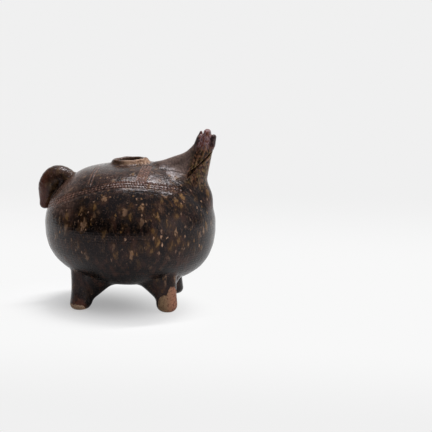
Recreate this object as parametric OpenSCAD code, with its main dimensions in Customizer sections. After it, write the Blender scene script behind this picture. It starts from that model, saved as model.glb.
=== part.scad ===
// Animal-shaped lime pot in iron-glazed stoneware: a thrown hollow body on four stub legs,
// with a low collar round its mouth and a head and a tail modelled by hand and luted on.
// Millimetres, +Z up, +X towards the head, feet on z = 0.

/* [Body] */
// Diameter of the thrown body at its widest ring
body_d = 115; // [100:1:135]
// Height of the belly's flat base above the ground
base_z = 15.3; // [11:0.1:20]
// Rise of the shoulder above the widest ring
shoulder_h = 41.12; // [38:0.02:50]
// Drop of the belly below the widest ring, which is also the radius of its side
belly_h = 39.5; // [36:0.5:44]
// Radius of the side wall above the widest ring
shoulder_side_r = 34.1; // [26:0.1:36]
// Thickness of the thrown wall
wall_t = 5.5; // [4:0.5:8]

/* [Mouth] */
// Bore of the mouth
mouth_d = 17.6; // [13:0.2:24]
// Thickness of the collar at its lip
collar_t = 2.9; // [2:0.1:5]
// Height of the collar above the top of the shoulder
collar_h = 2.1; // [1.6:0.1:6]
// Spread of the collar's foot beyond its lip
collar_foot = 1.2; // [0.4:0.1:3]

/* [Legs] */
// Distance of the front right leg's axis in from the side of the body
front_right_inset = 15.9; // [14:0.1:23]
// Distance of the front left leg's axis in from the side of the body, set deeper by hand
front_left_inset = 20.5; // [14:0.1:23]
// Distance of the hind right leg's axis in from the side of the body
hind_right_inset = 17.3; // [14:0.1:23]
// Distance of the hind left leg's axis in from the side of the body
hind_left_inset = 14.9; // [14:0.1:23]
// Angle of the front right leg from the line of the head
front_right_angle = 43; // [34:1:54]
// Angle of the front left leg from the line of the head
front_left_angle = 50; // [34:1:54]
// Angle of the hind right leg from the line of the tail
hind_right_angle = 45; // [34:1:54]
// Angle of the hind left leg from the line of the tail
hind_left_angle = 38; // [34:1:54]
// Diameter of a leg just above its foot
foot_d = 14.4; // [11:0.2:18]
// Diameter of a leg where it enters the body
root_d = 17; // [13:0.2:20]
// Rounding round the sole of a foot
sole_round = 4.4; // [1:0.1:4.9]
// Height on the leg where the coil smeared round its root begins
coil_start = 7; // [5:0.5:10]
// Lean of the smeared coil in under the belly, in degrees
coil_lean = 28; // [20:1:34]
// Hollow of the smeared coil, as radius over height
coil_bow = 1.15; // [1.05:0.05:1.6]

/* [Tail] */
// Radius of the tail at its thickest
tail_r = 8.2; // [6:0.1:10]
// Steepness of the body's surface where the tail starts, in degrees
tail_root_angle = 62; // [56:1:70]
// Steepness of the body's surface where the tail ends, in degrees
tail_tip_angle = 18; // [10:1:26]

/* [Head] */
// Steepness of the body's surface under the middle of the head, in degrees
head_seat_angle = 50; // [42:1:56]
// Height of the head from its seat to the top of the middle lobe
head_h = 39.3; // [32:0.1:46]
// Forward lean of the head, in degrees
head_lean = 10.7; // [0:0.1:20]
// Depth of the head from nape to front
head_depth = 15.2; // [12:0.1:19]
// Width of the head from side to side at its base
head_w = 17.6; // [13:0.1:22]
// Height of the pad of clay that the head is built on
neck_h = 8; // [6:0.1:9.5]
// Height up the head that the smeared clay climbs
smear_h = 26; // [20:0.5:30]
// Reach of the smeared clay along the back, as a share of the way from the head to the collar
nape_share = 1.172; // [0.9:0.002:1.4]
// Bare shoulder kept between the smeared clay and the collar
nape_gap = 1.5; // [0.5:0.1:4]
// Narrowing of the smeared clay towards the collar, as a share of its width
nape_pinch = 0.3; // [0:0.05:0.5]
// Reach of the smeared clay to each side
cheek_reach = 4.6; // [2:0.2:10]
// Height of the corner of the mouth above the neck
lip_corner_h = 2.5; // [1.5:0.1:6]
// Slope of the mouth, in degrees
lip_slope = 50; // [30:1:60]
// Gap between the lips
lip_gap = 1.2; // [0.6:0.1:2.5]
// Depth of the two nicks that part the lobes
nick_depth = 3.8; // [2:0.1:6]
// Width of a nick at the top
nick_w = 2.4; // [1:0.1:4]

/* [Joints] */
// Thickness of the slip line where pieces are luted together
slip_t = 0.1; // [0.05:0.05:0.3]

/* [Hidden] */
body_r = body_d / 2;
mouth_r = mouth_d / 2;
foot_r = foot_d / 2;
root_r = root_d / 2;
glaze_dark = [0.16, 0.12, 0.10];
glaze_brown = [0.27, 0.20, 0.15];
clay_worn = [0.45, 0.34, 0.26];
ring_sides = 28;
curve_steps = 4;
$fn = 180;

// The shoulder's outline has a side arc about [side_x, 0] and a large arc about a point on the
// axis, which meet where the surface has the join angle. The belly is one arc and a flat base.
side_x = body_r - shoulder_side_r;
large_r = (side_x * side_x + shoulder_h * shoulder_h - shoulder_side_r * shoulder_side_r)
    / (2 * (shoulder_h - shoulder_side_r));
join_way = [side_x, large_r - shoulder_h];
join_angle = atan2(join_way[1], join_way[0]);
base_r = body_r - belly_h;
widest_z = base_z + belly_h;
far = 3 * body_d;

// Point [radius, height] over the shoulder, lifted off the surface along its normal.
function shoulder_point(angle, lift) =
    angle < join_angle
        ? [side_x + (shoulder_side_r + lift) * cos(angle), widest_z + (shoulder_side_r + lift) * sin(angle)]
        : [(large_r + lift) * cos(angle), widest_z + shoulder_h - large_r + (large_r + lift) * sin(angle)];

// Steepness and height of the belly's surface at a given radius.
function belly_angle(radius) = acos(min(1, max(0, (radius - base_r) / belly_h)));
function belly_z(radius) = widest_z - belly_h * sin(belly_angle(radius));

top_z = widest_z + shoulder_h;
collar_r = mouth_r + collar_t + collar_foot;
head_seat = shoulder_point(head_seat_angle, 0);
nape_reach = nape_share * (head_seat[0] - collar_r);

// A leg's axis stands this far out, and the leg runs up into the body far enough to be cut by it.
function leg_out(inset) = body_r - inset;
function leg_top(inset) = belly_z(leg_out(inset) + root_r) + 3 * slip_t + root_r / 3;

// A smooth curve through hand-set stations, read at a place along the list.
function curve_at(list, place) =
    let (last = len(list) - 1, i = min(floor(place), last - 1), t = place - i,
         before = list[max(i - 1, 0)], from = list[i], to = list[i + 1], after = list[min(i + 2, last)])
    (2 * from + (to - before) * t + (2 * before - 5 * from + 4 * to - after) * t * t
     + (3 * from - before - 3 * to + after) * t * t * t) / 2;
function stations_along(list) =
    [for (k = [0 : (len(list) - 1) * curve_steps]) curve_at(list, k / curve_steps)];

// One egg-shaped ring of points: its middle, the way it faces, its reach that way, its reach
// the other way, half its width and how much narrower it gets towards the back.
function egg_ring(middle, way, front, back, half_width, pinch) =
    [for (i = [0 : ring_sides - 1])
        let (turn = 360 * i / ring_sides, reach = cos(turn) > 0 ? front : back,
             side = half_width * sin(turn) * (1 - pinch * max(0, -cos(turn))))
        middle + way * reach * cos(turn) + [0, side, 0]];

// A closed skin over a row of rings, in triangles.
module skin(rings) {
    n = ring_sides;
    last = (len(rings) - 1) * n;
    sides = [for (r = [0 : len(rings) - 2], i = [0 : n - 1])
        let (a = r * n + i, b = r * n + (i + 1) % n)
        each [[a, b, a + n], [b, b + n, a + n]]];
    start = [for (i = [1 : n - 2]) [0, i + 1, i]];
    finish = [for (i = [1 : n - 2]) [last, last + i, last + i + 1]];
    polyhedron(points = [for (ring = rings) each ring], faces = concat(start, sides, finish));
}

// The tail's stations: share of the way to the tip, then lift off the body, half depth and
// half width as shares of the tail's radius.
tail_stations = [
    [0.00, -0.70, 0.62, 0.74],
    [0.14, 0.32, 0.82, 0.95],
    [0.32, 0.80, 1.00, 1.04],
    [0.54, 0.68, 0.98, 0.98],
    [0.75, 0.54, 0.72, 0.73],
    [0.92, 0.48, 0.50, 0.53],
    [1.00, 0.48, 0.43, 0.44]];
function tail_angle(share) = tail_root_angle + (tail_tip_angle - tail_root_angle) * share;
function tail_middle(station) =
    let (point = shoulder_point(tail_angle(station[0]), station[1] * tail_r)) [-point[0], 0, point[1]];
function tail_way(station) = [-cos(tail_angle(station[0])), 0, sin(tail_angle(station[0]))];
function tail_ring(station) =
    let (deep = station[2] * tail_r)
    egg_ring(tail_middle(station), tail_way(station), deep, deep, station[3] * tail_r, 0);
tail_tip = tail_stations[len(tail_stations) - 1];
function tail_cap(bend) =
    let (way = tail_way(tail_tip), along = [-way[2], 0, way[0]], deep = tail_tip[2] * tail_r)
    egg_ring(tail_middle(tail_tip) + along * deep * sin(bend), way,
             deep * cos(bend), deep * cos(bend), tail_tip[3] * tail_r * cos(bend), 0);
tail_rings = concat([for (s = stations_along(tail_stations)) tail_ring(s)],
                    [for (bend = [25, 50, 72]) tail_cap(bend)]);

// The head's stations, in its own leaning frame: share of its height, then its reach forward,
// its reach back and half its width, as shares of its depth, its depth and its width.
head_stations = [
    [-0.31, 0.86, 0.62, 0.50],
    [0.00, 0.60, 0.61, 0.49],
    [0.18, 0.39, 0.60, 0.47],
    [0.31, 0.41, 0.59, 0.45],
    [0.46, 0.415, 0.57, 0.42],
    [0.62, 0.42, 0.55, 0.375],
    [0.74, 0.45, 0.435, 0.34],
    [0.84, 0.46, 0.36, 0.31],
    [0.93, 0.375, 0.265, 0.24]];
head_top = head_stations[len(head_stations) - 1];

// Clay smeared over the head's foot spreads less and less up the head, along a hollow curve.
function smear(height) = pow(max(0, min(smear_h, smear_h - height)) / smear_h, 1.4);
function head_ring(station) =
    let (spread = smear(station[0] * head_h))
    egg_ring([0, 0, station[0] * head_h], [1, 0, 0], station[1] * head_depth,
             station[2] * head_depth + nape_reach * spread, station[3] * head_w + cheek_reach * spread,
             nape_pinch * pow(spread, 0.25));
function head_cap(bend) =
    egg_ring([0, 0, (head_top[0] + (1 - head_top[0]) * sin(bend)) * head_h], [1, 0, 0],
             head_top[1] * head_depth * cos(bend), head_top[2] * head_depth * cos(bend),
             head_top[3] * head_w * cos(bend), 0);
head_rings = concat([for (s = stations_along(head_stations)) head_ring(s)],
                    [for (bend = [25, 50, 72]) head_cap(bend)]);

// How far the head and the tail reach from the body's axis, to centre the whole on the origin.
head_reach = max([for (ring = head_rings, p = ring)
    head_seat[0] + p[0] * cos(head_lean) + p[2] * sin(head_lean)]);
tail_reach = max([for (ring = tail_rings, p = ring) -p[0]]);
axis_x = (max(tail_reach, body_r) - max(head_reach, body_r)) / 2;

// A sector of a disc about the origin, out towards two far points less than 120 degrees apart.
module sector(r, from, to) {
    intersection() {
        circle(r = r);
        polygon([[0, 0], from, to]);
    }
}

// The outline of the body's right half, pared by the given thickness.
module body_outline(pare) {
    join_far = 8 * join_way;
    translate([0, widest_z]) {
        intersection() {
            translate([0, shoulder_h - large_r]) circle(r = large_r - pare);
            polygon([[0, 0], [side_x, 0], [side_x, 0] + join_far, [0, far]]);
        }
        translate([side_x, 0]) sector(shoulder_side_r - pare, [far, 0], join_far);
        translate([base_r, 0]) sector(belly_h - pare, [0, -far], [far, 0]);
        translate([0, pare - belly_h]) square([base_r, belly_h - pare]);
    }
}

module body_solid(grow) {
    rotate_extrude() body_outline(-grow);
}

// The ring of bare shoulder round the collar, which the clay smeared behind the head stays clear of.
module collar_clear() {
    translate([0, 0, widest_z]) cylinder(r = collar_r + nape_gap, h = far);
}

module head_frame() {
    translate([head_seat[0], 0, head_seat[1]]) rotate([0, head_lean, 0]) children();
}

// A slab of the head's frame, seen from its right side and cut through from side to side.
module through_head() {
    rotate([90, 0, 0])
        translate([0, 0, -body_r])
            linear_extrude(body_d)
                children();
}

// The wedge in front of the mouth's corner, from the given height up to the slope of the lips.
module jaw_side(low, gap, lap) {
    corner = -0.23 * head_depth;
    front = head_depth;
    lip = neck_h + lip_corner_h + gap / cos(lip_slope);
    polygon([[corner - lap, low], [front, low], [front, lip + (front - corner) * tan(lip_slope)],
             [corner - lap, lip]]);
}

module nick(forward) {
    apex = head_h - nick_depth;
    translate([forward, apex]) polygon([[0, 0], [nick_w, 2 * nick_depth], [-nick_w, 2 * nick_depth]]);
}

module leg_place(angle, inset) {
    rotate([0, 0, angle]) translate([leg_out(inset), 0, 0]) children();
}

module leg_solid(inset, grow) {
    r = foot_r + grow;
    flat = r - sole_round;
    top = leg_top(inset);
    rotate_extrude() {
        polygon([[0, 0], [flat, 0], [flat, sole_round], [r, sole_round], [root_r + grow, top], [0, top]]);
        translate([flat, sole_round]) sector(sole_round, [0, -far], [far, 0]);
    }
}

// A stub leg rolled from clay, rounded under the foot.
module leg(angle, inset) {
    color(glaze_dark)
        translate([axis_x, 0, 0])
            difference() {
                leg_place(angle, inset) leg_solid(inset, 0);
                body_solid(slip_t);
            }
}

// A coil pressed into the corner between leg and belly and smeared hollow with a finger. It
// leans in under the belly, so most of it lies on the leg's inner side.
module leg_coil(angle, inset) {
    start_r = foot_r * cos(coil_lean);
    rise = leg_top(inset) - coil_start;
    hollow = coil_bow * rise;
    color(glaze_dark)
        translate([axis_x, 0, 0])
            difference() {
                leg_place(angle, inset)
                    translate([0, 0, coil_start])
                        rotate([0, -coil_lean, 0])
                            rotate_extrude()
                                difference() {
                                    square([start_r + hollow, rise]);
                                    translate([start_r + hollow, 0]) circle(r = hollow);
                                }
                leg_place(angle, inset) leg_solid(inset, slip_t);
                body_solid(slip_t);
            }
}

// Hollow thrown body, closed all round but for the mouth.
module thrown_body() {
    color(glaze_brown)
        translate([axis_x, 0, 0])
            difference() {
                body_solid(0);
                body_solid(-wall_t);
                translate([0, 0, widest_z]) cylinder(r = mouth_r, h = body_d);
            }
}

// Low collar laid round the mouth, its lip worn round.
module mouth_collar() {
    lip = collar_t / 2;
    lip_z = top_z + collar_h - lip;
    color(clay_worn)
        translate([axis_x, 0, 0])
            difference() {
                rotate_extrude() {
                    polygon([[mouth_r, top_z - wall_t / 2], [collar_r, top_z - wall_t / 2], [collar_r, top_z],
                             [mouth_r + collar_t, lip_z], [mouth_r, lip_z]]);
                    translate([mouth_r + lip, lip_z])
                        intersection() {
                            circle(r = lip);
                            translate([-lip, 0]) square([collar_t, lip]);
                        }
                }
                body_solid(slip_t);
            }
}

// Pad of clay smeared on to the shoulder, trimmed flat on top to take the head.
module neck() {
    color(glaze_dark)
        translate([axis_x, 0, 0])
            difference() {
                head_frame()
                    difference() {
                        skin(head_rings);
                        through_head() translate([-body_d, neck_h]) square([2 * body_d, body_d]);
                    }
                body_solid(slip_t);
                collar_clear();
            }
}

// Raised head with its upturned snout, nicked into three lobes at the top.
module head() {
    color(glaze_brown)
        translate([axis_x, 0, 0])
            difference() {
                head_frame()
                    difference() {
                        skin(head_rings);
                        through_head() {
                            translate([-body_d, neck_h + slip_t - body_d]) square([2 * body_d, body_d]);
                            jaw_side(0, lip_gap, slip_t);
                            nick(-0.12 * head_depth);
                            nick(0.24 * head_depth);
                        }
                    }
                body_solid(slip_t);
                collar_clear();
            }
}

// Lower jaw, a tongue of clay under the slit of the mouth.
module lower_jaw() {
    color(glaze_dark)
        translate([axis_x, 0, 0])
            head_frame()
                intersection() {
                    skin(head_rings);
                    through_head() jaw_side(neck_h + slip_t, 0, 0);
                }
}

// Thick tail that bends over and lies down on the rump.
module tail() {
    color(glaze_brown)
        translate([axis_x, 0, 0])
            difference() {
                skin(tail_rings);
                body_solid(slip_t);
            }
}

thrown_body();
mouth_collar();
neck();
head();
lower_jaw();
tail();
leg(front_left_angle, front_left_inset);  // leg_front_left
leg(-front_right_angle, front_right_inset);  // leg_front_right
leg(180 - hind_left_angle, hind_left_inset);  // leg_hind_left
leg(180 + hind_right_angle, hind_right_inset);  // leg_hind_right
leg_coil(front_left_angle, front_left_inset);  // leg_coil_front_left
leg_coil(-front_right_angle, front_right_inset);  // leg_coil_front_right
leg_coil(180 - hind_left_angle, hind_left_inset);  // leg_coil_hind_left
leg_coil(180 + hind_right_angle, hind_right_inset);  // leg_coil_hind_right
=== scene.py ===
"""Animal-shaped lime pot of iron-glazed stoneware, built up in the order its potter luted it together."""

import bpy
import numpy as np
from mathutils import Matrix, Vector


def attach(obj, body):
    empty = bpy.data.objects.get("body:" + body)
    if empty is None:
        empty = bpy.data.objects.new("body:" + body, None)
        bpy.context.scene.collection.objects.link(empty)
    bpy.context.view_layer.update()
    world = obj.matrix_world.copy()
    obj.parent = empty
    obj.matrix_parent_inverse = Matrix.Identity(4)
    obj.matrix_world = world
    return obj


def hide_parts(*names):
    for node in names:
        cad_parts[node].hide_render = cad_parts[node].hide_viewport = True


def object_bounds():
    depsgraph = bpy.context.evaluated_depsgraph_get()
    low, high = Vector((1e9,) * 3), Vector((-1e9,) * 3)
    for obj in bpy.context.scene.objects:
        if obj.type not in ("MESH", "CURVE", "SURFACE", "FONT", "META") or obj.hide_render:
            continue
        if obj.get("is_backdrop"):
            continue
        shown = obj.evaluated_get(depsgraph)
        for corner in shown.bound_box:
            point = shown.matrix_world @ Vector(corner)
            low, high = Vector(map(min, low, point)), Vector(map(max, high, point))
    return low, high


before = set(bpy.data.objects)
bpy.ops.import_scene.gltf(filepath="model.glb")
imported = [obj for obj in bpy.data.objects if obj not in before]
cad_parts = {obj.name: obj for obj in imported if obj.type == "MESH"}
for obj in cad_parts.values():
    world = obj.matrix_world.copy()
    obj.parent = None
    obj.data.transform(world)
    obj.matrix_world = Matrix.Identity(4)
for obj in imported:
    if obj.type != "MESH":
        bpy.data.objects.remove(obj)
cad_low, cad_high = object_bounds()

# The studio. A pale table top runs back out of sight under one long soft light overhead, with pale
# surroundings behind the pot and a darker room on the camera's side. None of it is part of the pot.
scene = bpy.context.scene
scene.view_settings.view_transform = "Standard"

camera = bpy.data.objects.new("camera", bpy.data.cameras.new("camera"))
camera.data.sensor_fit = "HORIZONTAL"
camera.data.sensor_width = 36
camera.data.lens = 125.3
camera.data.clip_end = 100
camera.location = (0.2258, -0.9826, 0.2363)
view_line = Vector((-0.1625, 0.9713, -0.1736))
camera.rotation_euler = view_line.to_track_quat("-Z", "Y").to_euler()
scene.collection.objects.link(camera)
scene.camera = camera


class Thread:
    """One output of a node. Arithmetic on threads adds the maths nodes of their own tree."""

    def __init__(self, socket):
        self.socket = socket
        self.tree = socket.id_data

    @staticmethod
    def add(tree, kind, settings=None, sockets=None, out=0):
        """A new node: its settings first, then its sockets by name or number. Returns one output."""
        node = tree.nodes.new(kind)
        for name, value in (settings or {}).items():
            setattr(node, name, value)
        for key, value in (sockets or {}).items():
            if isinstance(value, Thread):
                tree.links.new(value.socket, node.inputs[key])
            else:
                node.inputs[key].default_value = value
        return Thread(node.outputs[out]) if node.outputs else node

    def also(self, out):
        """Another output of the same node."""
        return Thread(self.socket.node.outputs[out])

    def maths(self, operation, *terms):
        return Thread.add(self.tree, "ShaderNodeMath", {"operation": operation}, dict(enumerate(terms)))

    def __add__(self, other):
        return self.maths("ADD", self, other)

    def __sub__(self, other):
        return self.maths("SUBTRACT", self, other)

    def __rsub__(self, other):
        return self.maths("SUBTRACT", other, self)

    def __mul__(self, other):
        return self.maths("MULTIPLY", self, other)

    def __truediv__(self, other):
        return self.maths("DIVIDE", self, other)

    def __rtruediv__(self, other):
        return self.maths("DIVIDE", other, self)

    def __pow__(self, other):
        return self.maths("POWER", self, other)

    def __neg__(self):
        return self.maths("MULTIPLY", self, -1.0)

    def __abs__(self):
        return self.maths("ABSOLUTE", self)

    __radd__ = __add__
    __rmul__ = __mul__

    # numpy passes np.sin and the like on to these, so one formula serves arrays and node trees.
    def sin(self):
        return self.maths("SINE", self)

    def cos(self):
        return self.maths("COSINE", self)

    def exp(self):
        return self.maths("EXPONENT", self)

    def tanh(self):
        return self.maths("TANH", self)

    def rise(self, start, end):
        """From 0 at start to 1 at end, eased at both."""
        return Thread.add(self.tree, "ShaderNodeMapRange", {"interpolation_type": "SMOOTHSTEP"},
                          {"Value": self, "From Min": start, "From Max": end})

    def tint(self, under, over):
        """The colour under, with over laid on it by this share."""
        return Thread.add(self.tree, "ShaderNodeMix", {"data_type": "RGBA"},
                          {0: self, 6: under, 7: over}, 2)

    def axis(self, letter):
        """One axis of a place, X, Y or Z. The other two come from its also."""
        return Thread.add(self.tree, "ShaderNodeSeparateXYZ", sockets={0: self}, out=letter)

    def times(self, *shares):
        """A place squeezed by a share along each axis."""
        return Thread.add(self.tree, "ShaderNodeVectorMath", {"operation": "MULTIPLY"},
                          {0: self, 1: shares})

    def noise(self, scale, detail, rough=0.5):
        """Soft chance spots over a place, about one over scale apart."""
        return Thread.add(self.tree, "ShaderNodeTexNoise",
                          sockets={"Vector": self, "Scale": scale, "Detail": detail, "Roughness": rough})

    def stored(self, name):
        """The number that the piece's mesh stores at each of its points under that name."""
        return Thread.add(self.tree, "ShaderNodeAttribute", {"attribute_name": name}, out="Fac")


def paint(red, green, blue):
    """A colour as it looks on a screen, out of 255, as the linear value that a shader takes."""
    share = [c / 255 for c in (red, green, blue)]
    return tuple(c / 12.92 if c <= 0.04045 else ((c + 0.055) / 1.055) ** 2.4 for c in share) + (1.0,)


def bare_material(name):
    """A new material, and its node tree with nothing in it."""
    material = bpy.data.materials.new(name)
    material.use_nodes = True
    material.node_tree.nodes.clear()
    return material, material.node_tree


def sight_rays(tree):
    """Rays straight from the camera, and those that come by a shiny surface or through a clear one."""
    rays = Thread.add(tree, "ShaderNodeLightPath", out="Is Camera Ray")
    return rays, rays.also("Is Glossy Ray") + rays.also("Is Transmission Ray")


backdrop_white = paint(240, 240, 240)
table_white = paint(248, 248, 248)
table_material, tree = bare_material("table_top")
side = Thread.add(tree, "ShaderNodeTexCoord", out="Object").axis("X")
back = side.also("Y")
near_pot = back.rise(-0.26, -0.1) * (1 - back.rise(0.14, 0.5))
table_colour = near_pot.tint(backdrop_white, table_white)
lit = Thread.add(tree, "ShaderNodeBsdfDiffuse", sockets={"Color": table_colour})
even = Thread.add(tree, "ShaderNodeEmission", sockets={"Color": table_colour, "Strength": 1.0})
shade_x = side + 0.4 * back + 0.02
shade_y = back + 0.018
far = ((shade_x * shade_x + shade_y * shade_y) ** 0.5).rise(0.005, 0.085)
rays, mirrored = sight_rays(tree)
share = rays * (0.36 + 0.64 * far) + mirrored * far
seen = Thread.add(tree, "ShaderNodeMixShader", sockets={0: share, 1: lit, 2: even})
Thread.add(tree, "ShaderNodeOutputMaterial", sockets={"Surface": seen})

table_z, table_front, table_back, table_side = -1e-5, -0.5, 14.0, 14.0
table_corners = [(-table_side, table_front, table_z), (table_side, table_front, table_z),
                 (table_side, table_back, table_z), (-table_side, table_back, table_z)]
table_mesh = bpy.data.meshes.new("table_top")
table_mesh.from_pydata(table_corners, [], [(0, 1, 2, 3)])
table_mesh.materials.append(table_material)
table = bpy.data.objects.new("table_top", table_mesh)
scene.collection.objects.link(table)
table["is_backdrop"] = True

soft_box = bpy.data.objects.new("soft_box", bpy.data.lights.new("soft_box", "AREA"))
soft_box.data.shape = "RECTANGLE"
soft_box.data.size = 0.76
soft_box.data.size_y = 0.09
soft_box.data.energy = 14.0
soft_box.location = (0.16, 0.37, 1.2)
away = soft_box.location.normalized()
along = Vector((1, 0.6, 0))
along = (along - away * along.dot(away)).normalized()
soft_box.rotation_euler = Matrix((along, away.cross(along), away)).transposed().to_euler()
scene.collection.objects.link(soft_box)

room_dark, room_grey, room_top = paint(36, 36, 37), paint(130, 130, 132), paint(198, 198, 201)
side_card = (1.5, 1.5, 1.5, 1.0)
world = bpy.data.worlds.new("studio")
scene.world = world
world.use_nodes = True
tree = world.node_tree
tree.nodes.clear()
right = Thread.add(tree, "ShaderNodeTexCoord", out="Generated").axis("X")
behind = right.also("Y")
above = right.also("Z")
room = behind.rise(-0.2, 0.9).tint(room_dark, room_grey)
room = (above + 0.35 * right).rise(0.2, 0.85).tint(room, room_top)
room = (0.93 * right - 0.34 * behind + 0.12 * above).rise(0.86, 0.98).tint(room, side_card)
rays, mirrored = sight_rays(tree)
room = (rays + mirrored * behind.rise(0.5, 0.95)).tint(room, backdrop_white)
room_shader = Thread.add(tree, "ShaderNodeBackground", sockets={"Color": room, "Strength": 1.0})
Thread.add(tree, "ShaderNodeOutputWorld", sockets={"Surface": room_shader})

# Thrown body: a hollow ball of stoneware closed in on the wheel to a small mouth, a little uneven from
# the hand. Its shoulder is incised with a ladder-like band and with straps over the back, then glazed.
axis_x = 2.378
widest_z = 54.8
girth_r = 57.5
shoulder_rise = 41.12
belly_drop = 40.2
mouth_r = 8.8
wall_t = 5.5
mm = 0.001


def swell(distance, width):
    """A rounded swelling or cut of that half width, 1 where the distance is nil."""
    share = distance / width
    return np.exp(-1.0 * share * share)


def pot_radius(turn, lift, girth, rise, drop):
    """The wall's distance from the middle of the pot, by turn round the axis and lift above the girth.

    An even wall, squarer below the girth, is filled out at the breast and the hind shoulder and drawn in
    under the rump. The potter's hand leaves it uneven, and the wheel leaves rills.
    """
    upper = 0.5 + 0.5 * np.tanh(14.0 * lift)
    height = drop + (rise - drop) * upper
    power = 2.46 - 0.41 * upper
    flat = np.abs(np.cos(lift)) + 1e-6
    across = flat / girth
    along = (np.abs(np.sin(lift)) + 1e-6) / height
    even = (across ** power + along ** power) ** (-1.0 / power)
    front = 0.5 + 0.5 * np.cos(turn)
    rump = 0.5 - 0.5 * np.cos(turn)
    under = swell(lift + 0.62, 0.3)
    full = (front * front * (0.034 * swell(lift - 1.02, 0.26) + 0.03 * under)
            + 0.03 * rump * rump * swell(lift - 0.85, 0.2))
    hand = (0.0035 * np.sin(2.0 * turn + 0.7) + 0.003 * np.sin(3.0 * turn + 2.2 * lift + 2.0)
            + 0.0018 * np.sin(5.0 * turn - 4.0 * lift) + 0.001 * np.sin(11.0 * turn + 9.0 * lift)) * flat
    rills = 0.0008 * np.sin(44.0 * lift) * flat
    return even * (1.0 - 0.035 * rump * rump * under + full + hand + rills)


thick_glaze = paint(15, 11, 10)
thin_brown = paint(64, 40, 31)
ochre_haze = paint(76, 56, 39)
pale_grit = paint(136, 108, 96)
black_pool = paint(12, 8, 8)
drop_halo, drop_core = paint(60, 38, 17), paint(76, 50, 24)
ochre_drop, tan_drop = paint(140, 104, 60), paint(182, 142, 112)
ochre_fleck, tan_fleck = paint(132, 96, 56), paint(178, 140, 114)
edge_clay_and_highlight, hollow_black = paint(136, 106, 84), paint(10, 7, 6)


def glaze(name, mottle, brown, ground, extra=None, low=0.06):
    """Iron glaze over stoneware: near black where thick, brown where thin, with tan and ochre drops.

    Mottle is how strong the drops are, brown how thin the glaze is and ground the thick glaze's colour.
    Low is the share of drops below the belly's belt.
    Extra takes the place and the colour, roughness and height so far, and may change them.
    """
    material, tree = bare_material(name)
    place = Thread.add(tree, "ShaderNodeTexCoord", out="Object")
    point = place.times(1 / mm, 1 / mm, 1 / mm)
    drawn = point.times(1.0, 1.0, 0.5)
    high = point.axis("Z")

    def drops(size, reach, kept):
        """Ragged drops of glaze, one to a cell of that size: each drop's share, its core, its brown halo,
        and two chance numbers."""
        apart = Thread.add(tree, "ShaderNodeTexVoronoi", {"feature": "F1"},
                           {"Vector": drawn, "Scale": 1.0 / size, "Randomness": 1.0}, "Distance")
        chance = Thread.add(tree, "ShaderNodeSeparateColor", sockets={0: apart.also("Color")})
        ragged = apart + 1.1 * (drawn.noise(1.0 / (0.3 * size), 3.0, 0.55) - 0.5)
        there = chance.rise(kept, kept + 0.2)
        share = (1 - ragged.rise(0.3 * reach, 1.05 * reach)) * there
        core = (1 - ragged.rise(0.0, 0.6 * reach)) * there
        halo = (1 - ragged.rise(reach, 2.0 * reach)) * there
        return share, core, halo, chance.also("Green"), chance.also("Blue")

    cloud = point.noise(1 / 24, 2.0, 0.55)
    gather = drawn.noise(1 / 11, 2.0, 0.55).rise(0.38, 0.6)
    runs = drawn.noise(1 / 5, 3.0, 0.55)
    haze = drawn.noise(1 / 2, 4.0, 0.7)
    grit = point.noise(1 / 0.9, 3.0, 0.7)
    belt = low + (1 - low) * high.rise(30.0, 54.0) * (1 - 0.5 * high.rise(80.0, 92.0))
    thin = (runs + 0.5 * (cloud - 0.5) + 0.2 * high.rise(78.0, 92.0)).rise(0.46, 0.74)
    colour = (thin * brown).tint(ground, thin_brown)
    colour = (haze.rise(0.54, 0.68) * (0.1 + 0.6 * belt) * mottle).tint(colour, ochre_haze)
    specks = 0.04 + 0.3 * belt + 0.45 * high.rise(76.0, 88.0)
    colour = (grit.rise(0.57, 0.68) * specks).tint(colour, pale_grit)
    deep = 0.7 * high.rise(66.0, 80.0) + 0.4 * (1 - high.rise(30.0, 48.0))
    colour = ((1 - haze).rise(0.51, 0.6) * deep).tint(colour, black_pool)

    fore = 0.9 + 0.5 * high.also("X").rise(0.0, 30.0)
    large, core, halo, hue, strength = drops(size=5.8, reach=0.32, kept=0.15)
    seen = (0.25 + 0.75 * gather) * belt * mottle * fore
    colour = (halo * seen * 0.6).tint(colour, drop_halo)
    tan = hue.rise(0.45, 0.75).tint(ochre_drop, tan_drop)
    colour = (large * (0.3 + 0.7 * strength) * seen).tint(colour, tan)
    colour = (core * strength.rise(0.3, 0.5) * seen * 0.7).tint(colour, drop_core)
    small, _, _, hue, strength = drops(size=2.5, reach=0.3, kept=0.3)
    seen = (0.3 + 0.7 * gather) * (0.1 + 0.9 * belt) * mottle * fore
    tan = hue.rise(0.4, 0.6).tint(ochre_fleck, tan_fleck)
    colour = (small * strength * seen).tint(colour, tan)

    edge = point.stored("edge")
    # Over sharp edges the colour goes paler: partly clay where the glaze breaks thin, partly a painted
    # highlight along lit edges such as the jaw's lip.
    colour = (edge.rise(0.3, 1.2) * 0.65).tint(colour, edge_clay_and_highlight)
    colour = ((-edge).rise(0.15, 0.7) * 0.75).tint(colour, hollow_black)
    rough = 0.07 + 0.08 * thin + 0.11 * grit
    height = 0.12 * runs + 0.15 * haze + 0.08 * grit + 0.1 * large
    if extra:
        colour, rough, height = extra(point, colour, rough, height)
    bump = Thread.add(tree, "ShaderNodeBump", sockets={"Height": height, "Distance": mm, "Strength": 1.0})
    shader = Thread.add(tree, "ShaderNodeBsdfPrincipled",
                        sockets={"Base Color": colour, "Roughness": rough, "Normal": bump,
                                 "Specular IOR Level": 0.21, "Specular Tint": (1.0, 0.88, 0.92, 1.0)})
    Thread.add(tree, "ShaderNodeOutputMaterial", sockets={"Surface": shader})
    return material


painted_rump_sheen = paint(120, 94, 84)
line_pink, line_black = paint(144, 106, 92), paint(18, 12, 11)


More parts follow.
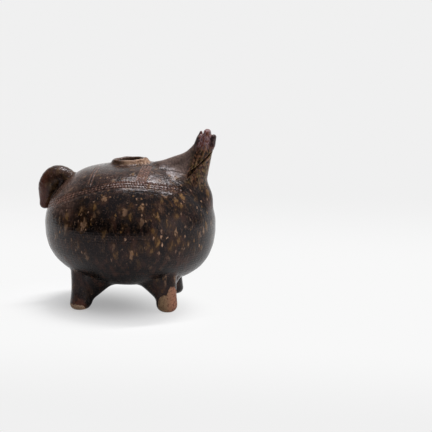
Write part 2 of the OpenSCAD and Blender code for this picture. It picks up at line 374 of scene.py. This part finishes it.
def incised(point, colour, rough, height):
    """Glaze drawn thin and pinkish over the edges of the incised lines, and black in the bottom of them.

    On the rump beside the tail the lines show more pink, and the glaze is painted paler brown as a painted
    sheen where the tail's shade falls. It is duller low on the belly, where the wheel's rills show.
    """
    cut = point.stored("incised")
    worn = point.noise(0.45, 3.0)
    high = point.axis("Z")
    rump = (1 - high.also("X").rise(-36.0, -18.0)) * high.rise(60.0, 70.0)
    # Painted sheen on the rump beside the tail, which lightens it where the tail's shade falls.
    colour = (rump * (0.25 + 0.45 * worn.rise(0.45, 0.6))).tint(colour, painted_rump_sheen)
    on_top = high.rise(85.0, 88.5)
    bared = 0.1 + 0.55 * worn.rise(0.42, 0.62) + 0.4 * on_top + 0.4 * rump
    colour = (cut.rise(0.05, 0.4) * bared).tint(colour, line_pink)
    colour = (cut.rise(0.6, 0.95) * (0.85 - 0.1 * on_top)).tint(colour, line_black)
    rills = np.sin(3.6 * high + 8.0 * height) * (1 - high.rise(50.0, 66.0))
    land = cut.rise(0.02, 0.12)
    rough = rough * (1 - 0.6 * land) + 0.15 * (1 - high.rise(30.0, 58.0))
    return colour, rough, height * (1 - 0.65 * land) + 0.02 * rills


body_glaze = glaze("iron_glaze_body", mottle=1.0, brown=0.7, ground=thick_glaze, extra=incised)

tree = bpy.data.node_groups.new("wheel_throwing", "GeometryNodeTree")
tree.is_modifier = True
throwing = {"Segments": 520, "Rings": 182, "Girth": girth_r, "Shoulder rise": shoulder_rise,
            "Belly drop": belly_drop, "Mouth radius": mouth_r, "Wall": wall_t, "Groove depth": 0.55,
            "Band half width": 0.082}
for name, value in throwing.items():
    kind = "NodeSocketInt" if isinstance(value, int) else "NodeSocketFloat"
    tree.interface.new_socket(name, in_out="INPUT", socket_type=kind)
tree.interface.new_socket("Pot", in_out="OUTPUT", socket_type="NodeSocketGeometry")
given = tree.nodes.new("NodeGroupInput")
size = {name: Thread(given.outputs[name]) for name in throwing}


def stretch(value, start, end):
    """From 0 at start to 1 at end, in a straight line, and level outside them."""
    return Thread.add(tree, "ShaderNodeMapRange",
                      sockets={"Value": value, "From Min": start, "From Max": end})


# The rings run from under the foot up to the mouth, over its edge and down the inside. They follow
# the incised band closely, so that its grooves are cut in the clay.
sheet = Thread.add(tree, "GeometryNodeMeshGrid",
                   sockets={"Size X": 1.0, "Size Y": 1.0,
                            "Vertices X": size["Segments"] + 1, "Vertices Y": size["Rings"]})
spot_x = Thread.add(tree, "GeometryNodeInputPosition").axis("X")
turn = (spot_x + 0.5) * (2 * np.pi)
run = spot_x.also("Y") + 0.5
ends = [0.0, 0.3, 0.46, 0.85, 0.866, 1.0]
belly_run, band_run, back_run, edge_run, inside_run = [stretch(run, a, b) for a, b in zip(ends, ends[1:])]
band_mid = 0.5 + 0.14 * np.cos(turn) - 0.178 * np.cos(2.0 * turn)
half_band = size["Band half width"]
mouth_lift = 1.362
mouth_lift_in = 1.324
lift = (belly_run * (band_mid - half_band + np.pi / 2) - np.pi / 2 + band_run * (2.0 * half_band)
        + back_run * (mouth_lift - half_band - band_mid) + edge_run * (mouth_lift_in - mouth_lift)
        - inside_run * (np.pi / 2 + mouth_lift_in))
wall = pot_radius(turn, lift, size["Girth"], size["Shoulder rise"], size["Belly drop"])
outside = 1 - edge_run

# The band is three lines with two rows of rungs between them. One strap of four lines with rungs and
# one of two lines run over the back, all measured in millimetres along the wall.
rung_waves = 65.0
along_band = (band_run - 0.5) * (2.0 * half_band) * wall
in_band = band_run.rise(0.0, 0.06) * (1 - band_run.rise(0.94, 1.0))
lines = swell(along_band - 2.2, 0.26) + swell(along_band, 0.24) + swell(along_band + 2.2, 0.26)
rungs = (swell(np.sin(rung_waves * turn), 0.4)
         * along_band.rise(-2.5, -2.0) * (1 - along_band.rise(0.0, 0.4))
         + swell(np.cos(rung_waves * turn), 0.38)
         * along_band.rise(-0.4, 0.0) * (1 - along_band.rise(3.2, 3.8)))
out = wall * np.cos(lift)
forward = out * np.cos(turn)
on_back = back_run.rise(0.0, 0.03) * (1 - back_run.rise(0.94, 0.97))
strap = sum((swell(forward - at, 0.36) for at in (13.8, 15.6, 17.4)), swell(forward - 12.0, 0.36))
strap_rungs = swell(np.sin(1.5 * out), 0.45) * forward.rise(11.8, 12.2) * (1 - forward.rise(17.2, 17.6))
rear_strap = swell(forward + 18.0, 0.4) + swell(forward + 20.3, 0.4)
cut = (in_band * (lines + 0.8 * rungs)
       + on_back * (strap + 0.5 * strap_rungs + 0.35 * rear_strap)) * outside
cut = cut.maths("MINIMUM", cut, 1.0)
wall = wall - size["Wall"] * edge_run - size["Groove depth"] * cut

mark = cut + 0.15 * in_band * outside * (1 - cut)
marked = Thread.add(tree, "GeometryNodeStoreNamedAttribute", {"data_type": "FLOAT", "domain": "POINT"},
                    {"Geometry": sheet, "Name": "incised", "Value": mark})
placed = Thread.add(tree, "ShaderNodeCombineXYZ",
                    sockets={"X": (wall * np.cos(lift) * np.cos(turn) + axis_x) * mm,
                             "Y": wall * np.cos(lift) * np.sin(turn) * mm,
                             "Z": (wall * np.sin(lift) + widest_z) * mm})
thrown = Thread.add(tree, "GeometryNodeSetPosition", sockets={"Geometry": marked, "Position": placed})
closed = Thread.add(tree, "GeometryNodeMergeByDistance", sockets={"Geometry": thrown, "Distance": 2e-6})
smooth = Thread.add(tree, "GeometryNodeSetShadeSmooth", sockets={"Geometry": closed})
real = Thread.add(tree, "GeometryNodeRealizeInstances", sockets={"Geometry": smooth})
glazed = Thread.add(tree, "GeometryNodeSetMaterial", sockets={"Geometry": real, "Material": body_glaze})
Thread.add(tree, "NodeGroupOutput", sockets={"Pot": glazed})

thrown_body = bpy.data.objects.new("thrown_body", bpy.data.meshes.new("clay"))
scene.collection.objects.link(thrown_body)
throw = thrown_body.modifiers.new("throw", "NODES")
throw.node_group = tree
for item in tree.interface.items_tree:
    if item.in_out == "INPUT":
        throw[item.identifier] = throwing[item.name]
wheel = bpy.context.evaluated_depsgraph_get()
thrown_mesh = bpy.data.meshes.new_from_object(thrown_body.evaluated_get(wheel), depsgraph=wheel,
                                              preserve_all_data_layers=True)
thrown_body.modifiers.clear()
thrown_body.data = thrown_mesh
thrown_mesh.name = "thrown_body"


def join(piece, slot, *nodes):
    """The piece takes the place of its solids in the frame, fired fast to the rest."""
    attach(piece, "root")
    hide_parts(*nodes)


join(thrown_body, "iron_glaze", "thrown_body")

# Mouth collar: a thin roll of clay laid round the mouth and pressed down with a finger, so that its
# lip is uneven. Handling has worn the glaze off the lip down to tan-brown clay.
lip_z = 98.0
collar_t = 2.9
sunk = 1.6  # how far each luted piece reaches into the body under it
lip_brown, lip_tan = paint(124, 92, 70), paint(180, 146, 120)


def body_depth(p):
    """How far points stand off the thrown body's outer face, in millimetres, negative inside it."""
    q = p - np.array([0.0, 0.0, widest_z])
    far = np.linalg.norm(q, axis=-1) + 1e-9
    turn = np.arctan2(q[..., 1], q[..., 0])
    lift = np.arcsin(np.clip(q[..., 2] / far, -1, 1))
    sizes = (girth_r, shoulder_rise, belly_drop)
    wall = pot_radius(turn, lift, *sizes)
    step = 0.004
    tilt = (pot_radius(turn, lift + step, *sizes) - wall) / step / wall
    return (far - wall) / np.sqrt(1 + tilt * tilt)


def blend(a, b, soft):
    """Two clays pressed together, with a hollow of about that size smoothed into the corner."""
    share = np.clip(0.5 + 0.5 * (b - a) / soft, 0, 1)
    return b + (a - b) * share - soft * share * (1 - share)


def trim(a, b, soft):
    """The clay of a that is also in b, with the edge rounded by about that size."""
    return -blend(-a, -b, soft)


def feather(clay, under):
    """The clay let a hair below the skin under it where it thins out to nothing, so that no step shows."""
    hair, thin = 0.02, 0.2
    return clay + hair * (1 - np.clip((under - clay) / thin, 0, 1))


def mould(name, clay, low, high, grain, material, skin=None):
    """A closed mesh of the clay: points where its depth is negative, found on a grid of that grain.

    The depth is taken at every fourth point first, and at the rest only near the surface. The mesh stores
    how far each point stands off the body and, with a skin, how sharply that bends there, out over edges
    and in (negative) along hollows.
    """
    skip, near_cells = 4, 6.5
    counts = [skip * int(np.ceil((b - a) / grain / skip)) + 1 for a, b in zip(low, high)]
    ticks = [a + grain * np.arange(n) for a, n in zip(low, counts)]
    grid = np.stack(np.meshgrid(*ticks, indexing="ij"), axis=-1)
    coarse = clay(grid[::skip, ::skip, ::skip])
    depth = coarse[np.ix_(*[np.round(np.arange(n) / skip).astype(int) for n in counts])]
    near = np.abs(depth) < near_cells * grain
    depth[near] = clay(grid[near])
    solid = depth < 0

    # Each cell that the surface passes through gets one point, the middle of where its edges are crossed.
    cells = [n - 1 for n in depth.shape]
    total = np.zeros(cells + [3])
    count = np.zeros(cells)
    crossings = []
    for a in range(3):
        b, c = (a + 1) % 3, (a + 2) % 3
        first = [slice(None)] * 3
        last = [slice(None)] * 3
        first[a] = slice(None, -1)
        last[a] = slice(1, None)
        first, last = tuple(first), tuple(last)
        crosses = solid[first] != solid[last]
        share = np.where(crosses, depth[first] / np.where(crosses, depth[first] - depth[last], 1), 0)
        points = grid[first].copy()
        points[..., a] += share * grain
        points *= crosses[..., None]
        for i in (0, 1):
            for j in (0, 1):
                window = [slice(None)] * 3
                window[b] = slice(i, i + cells[b])
                window[c] = slice(j, j + cells[c])
                total += points[tuple(window)]
                count += crosses[tuple(window)]
        crossings.append((a, b, c, crosses, solid[first]))
    used = count > 0
    number = np.full(cells, -1)
    number[used] = np.arange(used.sum())
    spots = total[used] / count[used][:, None]

    # Each crossed edge gets a face through its four cells, turned to look out of the clay.
    quads = []
    for a, b, c, crosses, starts in crossings:
        inner = [slice(None)] * 3
        inner[b] = inner[c] = slice(1, -1)
        at = np.argwhere(crosses[tuple(inner)])
        outward = starts[tuple(inner)][tuple(at.T)]
        corners = []
        for i, j in ((0, 0), (1, 0), (1, 1), (0, 1)):
            cell = at.copy()
            cell[:, b] += i
            cell[:, c] += j
            corners.append(number[tuple(cell.T)])
        quad = np.stack(corners, axis=1)
        quads.append(np.where(outward[:, None], quad, quad[:, ::-1]))
    quads = np.concatenate(quads)

    # The points are then drawn on to the surface itself.
    nudge = 0.2 * grain
    for _ in range(3):
        value = clay(spots)
        slope = np.stack([(clay(spots + nudge * way) - value) / nudge for way in np.eye(3)], axis=1)
        move = value[:, None] * slope / np.maximum((slope * slope).sum(1), 0.05)[:, None]
        spots = spots - np.clip(move, -0.5 * grain, 0.5 * grain)
    mesh = bpy.data.meshes.new(name)
    mesh.from_pydata(((spots + np.array([axis_x, 0, 0])) * mm).tolist(), [], quads.tolist())
    mesh.polygons.foreach_set("use_smooth", [True] * len(mesh.polygons))

    def store(label, values):
        mesh.attributes.new(label, "FLOAT", "POINT").data.foreach_set("value", values.astype(np.float32))

    if skin:
        reach = 0.7
        around = sum(skin(spots + reach * way) + skin(spots - reach * way) for way in np.eye(3)) / 6
        store("edge", np.clip((around - skin(spots)) * 6 / reach ** 2, -2, 2))
    store("proud", np.clip(body_depth(spots), 0, 12))
    mesh.materials.append(material)
    piece = bpy.data.objects.new(name, mesh)
    scene.collection.objects.link(piece)
    return piece


def collar_clay(p):
    """A standing ring with a rolled lip, smeared wider towards the head, where the strap's lines run on."""
    turn = np.arctan2(p[..., 1], p[..., 0])
    out = np.hypot(p[..., 0], p[..., 1])
    half = collar_t / 2 + 0.125 * np.sin(3 * turn + 0.5)
    middle = mouth_r + collar_t / 2 + 0.3 * np.sin(2 * turn + 1.0)
    top = lip_z + 0.5 + 0.4 * np.cos(turn + 0.2) + 0.2 * np.sin(3 * turn + 2.0) + 0.12 * np.sin(7 * turn)
    roll = np.hypot(out - middle, p[..., 2] - (top - half)) - half
    wall = trim(np.abs(out - middle) - half, p[..., 2] - (top - half), 0.4)
    ring = np.minimum(roll, wall)
    body = body_depth(p)
    smear = 3.2 + 2.0 * np.clip(np.cos(turn), 0, 1)
    clay = feather(blend(ring, body, smear), body)
    clay = trim(clay, ring - smear, 0.3)
    clay = trim(clay, -body - sunk, 0.3)
    for at in (7.4, 9.4, 11.4):
        clay = clay + 0.4 * swell(p[..., 0] - at, 0.4) * (p[..., 1] < 0)
    return trim(clay, mouth_r - 0.15 - out + 0.25 * np.sin(2 * turn), 0.5)


def worn_lip(point, colour, rough, height):
    """Crumbly bare clay along the lip, most of it on the side towards the head."""
    high = point.axis("Z")
    crumbs = point.noise(0.5, 3.0)
    rubbed = (0.7 * high.also("X") - 0.7 * high.also("Y")).rise(6.0, 11.0)
    worn = (high + 3.2 * (crumbs - 0.5)).rise(95.2, 96.6) * (0.2 + 0.8 * rubbed)
    clay = crumbs.rise(0.35, 0.7).tint(lip_brown, lip_tan)
    return (worn * 0.9).tint(colour, clay), rough + 0.3 * worn, height + 0.2 * crumbs


collar_glaze = glaze("worn_collar", mottle=0.6, brown=1.0, ground=thick_glaze, extra=worn_lip)
mouth_collar = mould("mouth_collar", collar_clay, low=(-18, -18, 90), high=(18, 18, 100), grain=0.4,
                     material=collar_glaze)
join(mouth_collar, "worn_rim", "mouth_collar")

# Neck, head and lower jaw: a tapering lump of clay stood on the shoulder and smeared down behind, its
# mouth slit with a blade and its top pinched into three lobes. Thin glaze leaves it brown and olive.


def eased(stations, count=160):
    """Stations as columns, drawn through with a smooth curve and set close together."""
    rows = np.array(stations, float)
    rows = np.vstack([2 * rows[0] - rows[1], rows, 2 * rows[-1] - rows[-2]])
    place = np.linspace(0, len(rows) - 3 - 1e-9, count)
    i = place.astype(int)
    t = (place - i)[:, None]
    a, b, c, d = rows[i], rows[i + 1], rows[i + 2], rows[i + 3]
    return 0.5 * (2 * b + (c - a) * t + (2 * a - 5 * b + 4 * c - d) * t ** 2
                  + (3 * b - a - 3 * c + d) * t ** 3)


def rolled(p, chain):
    """A roll of clay along a chain of points, each with its radius."""
    nearest = np.full(p.shape[:-1], 1e9)
    for start, end in zip(chain, chain[1:]):
        way = end[:3] - start[:3]
        share = np.clip(((p - start[:3]) @ way) / (way @ way), 0, 1)
        gap = np.linalg.norm(p - start[:3] - share[..., None] * way, axis=-1)
        nearest = np.minimum(nearest, gap - start[3] - share * (end[3] - start[3]))
    return nearest


def ramp(value, start, end):
    """From 0 at start to 1 at end, which may lie below it, and level outside them."""
    return np.clip((value - start) / (end - start), 0, 1)


# Height, back, front and half width of the upright lump, then the nape's middle line with its radius,
# and the slit of the mouth from the throat up to the front.
lump = eased([[64, 36.5, 51.0, 8.6], [70, 37.0, 54.8, 9.2], [76, 37.6, 55.3, 9.5], [84, 39.0, 52.9, 9.2],
              [90, 40.0, 53.7, 8.7], [97, 41.0, 55.1, 7.8], [104, 42.4, 56.5, 6.9], [109, 44.2, 57.5, 6.0],
              [113, 45.8, 58.0, 5.2], [118, 47.4, 58.2, 4.4]])
nape = eased([[21, 0, 90.8, 5.8], [28, 0, 93.3, 6.0], [33, 0, 95.6, 5.6], [38, 0, 98.0, 5.0],
              [42, 0, 101.0, 4.4], [45, 0, 105.0, 3.4]], 16)
slit = eased([[42.9, 80.0], [41.6, 87.0], [43.8, 91.6], [48.0, 95.4], [53.0, 100.3], [56.4, 104.2],
              [61.0, 109.5]], 40)
slit_square = 1 / np.hypot(1, np.gradient(slit[:, 0], slit[:, 1]))

# The three pinched lobes, each a roll with its radius, measured with the breadth squeezed by this much.
lobe_squeeze = np.array([1.0, 0.6, 1.0])
left_lobe = np.array([[47.0, 0.2, 108.0, 2.8], [48.5, 0.1, 114.0, 2.0], [48.9, 0.1, 117.2, 0.9]])
middle_lobe = np.array([[52.6, -0.4, 109.0, 3.6], [53.3, -0.5, 117.1, 2.5]])
right_lobe = np.array([[56.0, -1.4, 104.6, 1.2], [57.0, -1.8, 109.0, 2.0], [57.9, -1.6, 114.4, 1.8]])


def head_clay(p):
    """Depth in the head with all it is smeared on to, depth in the head alone and in the body, how wide
    the smear is, and how far in front of the mouth's slit each point lies."""
    x, y, z = p[..., 0], p[..., 1], p[..., 2]
    back, front, half = (np.interp(z, lump[:, 0], lump[:, k]) for k in (1, 2, 3))
    deep = (front - back) / 2
    ring = np.sqrt(((x - (front + back) / 2) / deep) ** 2 + (y / half) ** 2)
    upright = trim((ring - 1) * np.minimum(deep, half), z - 115.8, 3.0)
    upright = trim(upright, 66 - z, 1.0)
    wide = p * lobe_squeeze
    left, middle, right = (rolled(wide, lobe) for lobe in (left_lobe, middle_lobe, right_lobe))
    head = blend(upright, np.minimum(left, np.minimum(middle, right)), 0.8)

    ridge_z, ridge_r = (np.interp(x, nape[:, 0], nape[:, k]) for k in (2, 3))
    drop = ridge_z - z
    web = np.maximum(np.abs(y) - ridge_r - 0.55 * np.clip(drop, 0, 9),
                     np.maximum(np.abs(drop - 9) - 9, np.abs(x - 34.5) - 11.5))
    head = blend(head, np.minimum(rolled(p, nape), web), 1.6 + 7.0 * ramp(z, 95, 88))
    body = body_depth(p)
    flank = ramp(np.abs(y), 3, 9) * ramp(x, 20, 28)
    spread = 9.0 - 4.0 * ramp(x, 44, 28) * (1 - flank)
    clay = feather(blend(head, body, spread), body)

    ahead = (x - np.interp(z, slit[:, 1], slit[:, 0])) * np.interp(z, slit[:, 1], slit_square)
    side = ramp(np.abs(y), 2, 4) * ramp(z, 92, 96) * ramp(x, 40.5, 43.5)
    wrinkle = np.sin(2.2 * (x - 0.2 * z) + 1.2 * np.sin(0.4 * z)) * ramp(z, 112, 108)
    clay = clay + side * (0.2 * wrinkle - 0.45 * swell(ahead - 1.3, 0.6))
    shut = swell(z - 95.9, 2.2)
    gape = 0.32 + 1.1 * swell(z - 91.0, 2.2) - 0.2 * shut
    slit_deep = (2.2 - 2.0 * shut) * ramp(z, 86.5, 89.5) - 3 * ramp(z, 87.5, 85.5)
    cut = np.maximum(np.abs(ahead) - gape, np.maximum(-clay - slit_deep, 2.2 - np.abs(y)))
    return trim(clay, -cut, 0.6), head, body, spread, ahead


# The seam between neck and head lies square to the head's lean, through this point.
lean = np.array([0.1857, 0.0, 0.9826])
neck_top = np.array([46.8, 0.0, 88.78])


def neck_clay(p):
    """The clay below the seam, which goes on a little way inside the head."""
    clay, head, body, spread, _ = head_clay(p)
    above = (p - neck_top) @ lean
    clay = clay + 0.12 * np.clip(above + 0.6, 0, 1.5)
    clay = trim(clay, head - spread, 0.3)
    clay = trim(clay, -body - sunk, 0.4)
    return trim(clay, above - 1.2, 0.5)


def head_piece(p):
    """The clay above the seam and behind the slit."""
    clay, head, body, spread, ahead = head_clay(p)
    clay = trim(clay, -body - sunk, 0.4)
    clay = trim(clay, head - spread, 0.3)
    clay = trim(clay, (neck_top - p) @ lean, 0.5)
    return trim(clay, ahead, 0.4)


def jaw_piece(p):
    """The clay above the seam and in front of the slit."""
    clay, _, _, _, ahead = head_clay(p)
    clay = trim(clay, (neck_top - p) @ lean, 0.5)
    return trim(clay, -ahead, 0.4)


def head_skin(p):
    return head_clay(p)[0]


snout_ground, snout_brown, snout_olive = paint(34, 24, 19), paint(128, 88, 64), paint(118, 94, 52)
top_red, top_painted_sheen = paint(112, 60, 52), paint(180, 148, 154)
fold_black, tip_black = paint(20, 13, 10), paint(26, 17, 16)
pale_dab, nape_grey_and_sheen = paint(150, 116, 96), paint(120, 102, 96)


def thin_snout(point, colour, rough, height):
    """Brown and olive where the glaze is thin, black in its folds and reddish with a painted lavender sheen
    at the pinched top, with the nape behind it greyer, partly a painted sheen, and smoother."""
    thick = colour
    streak = point.times(1.0, 1.0, 0.5)
    dabs = streak.noise(0.95, 4.0)
    fold = streak.noise(0.75, 4.0)
    olive = streak.noise(0.25, 3.0)
    high = point.axis("Z")
    side = high.also("X")
    proud = point.stored("proud")
    thinned = (proud + 3.0 * (olive - 0.5)).rise(0.4, 4.5)
    colour = (thinned * 0.6).tint(thick, snout_ground)
    tint = olive.rise(0.46, 0.58).tint(snout_brown, snout_olive)
    colour = (dabs.rise(0.4, 0.58) * 0.8).tint(colour, tint)
    # Painted sheen: lavender-grey patches over the reddish top stand for the light it catches.
    top = fold.rise(0.4, 0.58).tint(top_red, top_painted_sheen)
    colour = (high.rise(104.0, 111.0) * 0.75).tint(colour, top)
    colour = (fold.rise(0.53, 0.63) * 0.85).tint(colour, fold_black)
    rear_tip = 1 - (side - 0.2 * (high - 108.0)).rise(48.6, 50.4)
    front_tip = (side - 0.1 * (high - 108.0)).rise(57.4, 59.0)
    colour = ((rear_tip + front_tip) * high.rise(106.0, 110.0) * 0.85).tint(colour, tip_black)
    colour = (dabs.rise(0.6, 0.7) * 0.8).tint(colour, pale_dab)
    # The nape is painted greyer: partly a greyer glaze, partly a painted sheen where its flank catches the
    # light.
    behind = (1 - (side - 0.3 * high).rise(12.5, 19.0)) * (1 - high.rise(105.0, 111.0))
    colour = (behind * (0.55 + 0.3 * dabs.rise(0.42, 0.58))).tint(colour, nape_grey_and_sheen)
    rough = rough + 0.14 * proud.rise(0.1, 2.0)
    height = height + 0.35 * dabs * proud.rise(0.0, 1.2) * (1 - 0.6 * behind)
    return thinned.tint(thick, colour), rough, height


def smeared_neck(point, colour, rough, height):
    """The head's thin glaze above, running down into the body's thick glaze."""
    thin_colour, rough, height = thin_snout(point, colour, rough, height)
    high = point.axis("Z")
    fade = (high + 0.19 * high.also("X")).rise(86.0, 97.5)
    return fade.tint(colour, thin_colour), rough, height


neck_glaze = glaze("neck_glaze", mottle=0.8, brown=0.9, ground=thick_glaze, extra=smeared_neck)
snout_glaze = glaze("snout_glaze", mottle=0.8, brown=0.8, ground=thick_glaze, extra=thin_snout)
neck = mould("neck", neck_clay, low=(6, -29, 50), high=(64, 29, 98), grain=0.5, material=neck_glaze)
head = mould("head", head_piece, low=(6, -24, 86), high=(62, 24, 121), grain=0.45,
             material=snout_glaze, skin=head_skin)
lower_jaw = mould("lower_jaw", jaw_piece, low=(38, -12, 84), high=(62, 12, 110), grain=0.4,
                  material=snout_glaze, skin=head_skin)
join(neck, "iron_glaze", "neck")
join(head, "thin_glaze", "head")
join(lower_jaw, "thin_glaze", "lower_jaw")

# Tail: a thick roll of clay, luted on above the rump, bent over and laid down on it, thinning to a
# blunt tip. The glaze has run off its outer edge and left it reddish.


def shoulder_spot(steep, off):
    """Point over the shoulder where it has that steepness in degrees, lifted off it."""
    side_x, side_r, large_r = 23.4, 34.1, 76.61
    arcs_meet = 56.6
    a = np.radians(steep)
    if steep < arcs_meet:
        return side_x + (side_r + off) * np.cos(a), widest_z + (side_r + off) * np.sin(a)
    return (large_r + off) * np.cos(a), widest_z + shoulder_rise - large_r + (large_r + off) * np.sin(a)


# The tail's middle line from its hidden root to its tip: steepness of the shoulder, lift and radius.
tail_line = eased([[58.5, -4.6, 5.2], [53.5, 2.4, 7.0], [46.5, 6.4, 8.2], [37.5, 6.1, 8.2], [29, 4.9, 6.2],
                   [22, 4.2, 4.4], [17.3, 4.0, 3.6]], 20)
tail_chain = []
for steep, off, thick in tail_line:
    out, up = shoulder_spot(steep, off)
    tail_chain.append([-out, 0.0, up, thick])
tail_chain = np.array(tail_chain)


def tail_clay(p):
    """The roll, smeared into the body round its root and only touching it further down."""
    body = body_depth(p)
    roll = rolled(p, tail_chain)
    root = np.linalg.norm(p - tail_chain[2, :3], axis=-1)
    clay = feather(blend(roll, body, 1.3 + 3.0 * swell(root, 8)), body)
    clay = trim(clay, roll - 4.0, 0.4)
    return trim(clay, -body - sunk, 0.4)


tail_ground, tail_olive, tail_tan = paint(26, 18, 14), paint(72, 52, 30), paint(108, 84, 62)
tail_fold, tail_red = paint(16, 11, 9), paint(88, 48, 36)


def worn_tail(point, colour, rough, height):
    """Olive and tan dabs with black folds, reddish along the outer edge."""
    dabs = point.noise(0.3, 4.0)
    fold = point.noise(0.45, 4.0)
    edge = (1 - (point.axis("X") + 6.0 * (dabs - 0.5)).rise(-57.0, -50.0)) * 0.7
    colour = (dabs.rise(0.45, 0.58) * 0.7).tint(colour, tail_olive)
    colour = (dabs.rise(0.6, 0.7) * 0.6).tint(colour, tail_tan)
    colour = (fold.rise(0.54, 0.64) * 0.7).tint(colour, tail_fold)
    return edge.tint(colour, tail_red), rough + 0.08, height + 0.35 * dabs + 0.3 * fold


tail_glaze = glaze("tail_glaze", mottle=0.3, brown=1.0, ground=tail_ground, extra=worn_tail)
tail = mould("tail", tail_clay, low=(-66, -14, 56), high=(-26, 14, 98), grain=0.45, material=tail_glaze)
join(tail, "thin_glaze", "tail")

# Legs: four short rolls of clay pushed on to the belly, each with a coil of soft clay smeared into the
# corner, most of it on the inner side. The glaze stops short of three feet and leaves tan clay bare.
# Each leg's foot has its place x and y, its share of the common girth, and how round its sole's edge is.
legs = {"front_left": (23.78, 28.34, 1.0, 4.6), "front_right": (30.9, -28.37, 0.95, 6.6),
        "hind_left": (-33.57, 26.23, 1.0, 4.6), "hind_right": (-28.43, -28.43, 1.0, 4.6)}
leg_shape = eased([[-2, 6.9], [3, 7.3], [8, 7.1], [14, 7.0], [22, 7.6], [34, 9.0]])
leg_lean = 0.085
leg_turn = 1.7
front_coil, hind_coil = 11.0, 13.5


def leg_roll(p, foot, turn):
    """A leg that leans in under the belly as it rises, and how far inward of it each point lies."""
    inward = -np.array(foot[:2]) / np.hypot(*foot[:2])
    flat = p[..., :2] - np.array(foot[:2]) - leg_lean * p[..., 2:] * inward
    away = np.hypot(flat[..., 0], flat[..., 1]) + 1e-6
    round_off = 0.25 * np.sin(2 * np.arctan2(flat[..., 1], flat[..., 0]) + turn)
    side = away - foot[2] * np.interp(p[..., 2], leg_shape[:, 0], leg_shape[:, 1]) - round_off
    return trim(side, -p[..., 2], foot[3]), (flat @ inward) / away


def leg_piece(foot, turn):
    """The leg down to the floor, cut off a little way inside the body."""
    def clay(p):
        return trim(leg_roll(p, foot, turn)[0], -body_depth(p) - sunk, 0.5)
    return clay


def coil_piece(foot, turn, widest):
    """The clay that fills the corner between leg and belly, widest on the inner side of the leg."""
    let_in, past = 1.2, 1.8

    def clay(p):
        leg, facing = leg_roll(p, foot, turn)
        body = body_depth(p)
        reach = widest * np.clip(0.35 + 0.8 * facing, 0, 1) ** 0.7
        slope = (leg + body - reach) * np.sqrt(0.5)
        smear = blend(blend(leg, body, 1.6), slope, 0.4 + 0.2 * reach)
        smear = feather(feather(smear, body), leg)
        for other in (leg, body):
            smear = trim(smear, other - past - 1.25 * reach, 0.4)
        for other in (leg, body):
            smear = trim(smear, -other - let_in, 0.4)
        return smear
    return clay


leg_ground, scorch_red = paint(18, 12, 10), paint(96, 54, 40)
sole_tan, sole_pale, sole_speck = paint(176, 144, 116), paint(200, 166, 140), paint(84, 62, 48)
foot_tan, foot_red, foot_speck = paint(158, 128, 98), paint(168, 116, 92), paint(98, 62, 48)


def bare_sole(point, colour, rough, height):
    """Bare clay round the edge of the sole, with a scorched red rim above it."""
    high = point.axis("Z")
    ragged = point.noise(0.3, 3.0)
    speck = point.noise(1.1, 2.0)
    level = high + 4.0 * (ragged - 0.5) + 8.0 * high.also("X").rise(-23.0, -19.0)
    bare = 1 - level.rise(3.6, 4.8)
    rim = (1 - level.rise(6.0, 11.0)) * ragged.rise(0.35, 0.6) * 0.8
    colour = rim.tint(colour, scorch_red)
    clay = ragged.rise(0.3, 0.7).tint(sole_tan, sole_pale)
    clay = (speck.rise(0.56, 0.68) * 0.6).tint(clay, sole_speck)
    return bare.tint(colour, clay), rough + 0.35 * bare, height + 0.3 * speck * bare


def bare_foot(point, colour, rough, height):
    """A rounded patch of bare clay over the foot, with a tongue up the leg, tan and reddish."""
    high = point.axis("Z")
    side = high.also("X")
    ragged = point.noise(0.3, 3.0)
    speck = point.noise(1.1, 2.0)
    tongue = side.rise(33.5, 36.5) * (1 - side.rise(38.5, 40.0))
    left = (1 - side.rise(25.6, 32.4)) * 1.3
    level = high - 5.0 * tongue + 3.0 * (ragged - 0.5)
    bare = 1 - (left * left + ((level - 4.0) / 8.6) ** 2).rise(0.86, 1.08)
    clay = side.rise(32.0, 39.0).tint(foot_tan, foot_red)
    clay = ((speck + 0.1 * side.rise(35.0, 40.0)).rise(0.56, 0.66) * 0.8).tint(clay, foot_speck)
    return bare.tint(colour, clay), rough + 0.4 * bare, height + 0.3 * speck * bare


leg_glaze = glaze("leg_glaze", mottle=0.8, brown=0.9, ground=leg_ground, extra=bare_sole, low=0.5)
foot_glaze = glaze("bare_foot_glaze", mottle=0.8, brown=0.8, ground=leg_ground, extra=bare_foot, low=0.4)
coil_glaze = glaze("coil_glaze", mottle=0.8, brown=0.8, ground=thick_glaze, low=0.4)


def around_foot(foot, reach, bottom, top):
    """The lowest and highest corner of a box round a foot."""
    return (foot[0] - reach, foot[1] - reach, bottom), (foot[0] + reach, foot[1] + reach, top)


for number, (name, foot) in enumerate(legs.items()):
    turn = leg_turn * number
    finish = {"front_right": foot_glaze, "front_left": coil_glaze}.get(name, leg_glaze)
    low, high = around_foot(foot, reach=11, bottom=-1.5, top=36)
    leg = mould("leg_" + name, leg_piece(foot, turn), low, high, grain=0.5, material=finish)
    join(leg, "bare_foot" if name == "front_right" else "iron_glaze", "leg_" + name)
    widest = hind_coil if foot[0] < 0 else front_coil
    low, high = around_foot(foot, reach=28, bottom=-1.4, top=44)
    coil = mould("leg_coil_" + name, coil_piece(foot, turn, widest), low, high, grain=0.6,
                 material=coil_glaze)
    join(coil, "iron_glaze", "leg_coil_" + name)

# The box of the plain solids and the box of the dressed pot are written side by side, to show that the
# dressing keeps to the size of the solids.
low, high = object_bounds()
{"cad": [list(cad_low), list(cad_high)], "visual": [list(low), list(high)]}
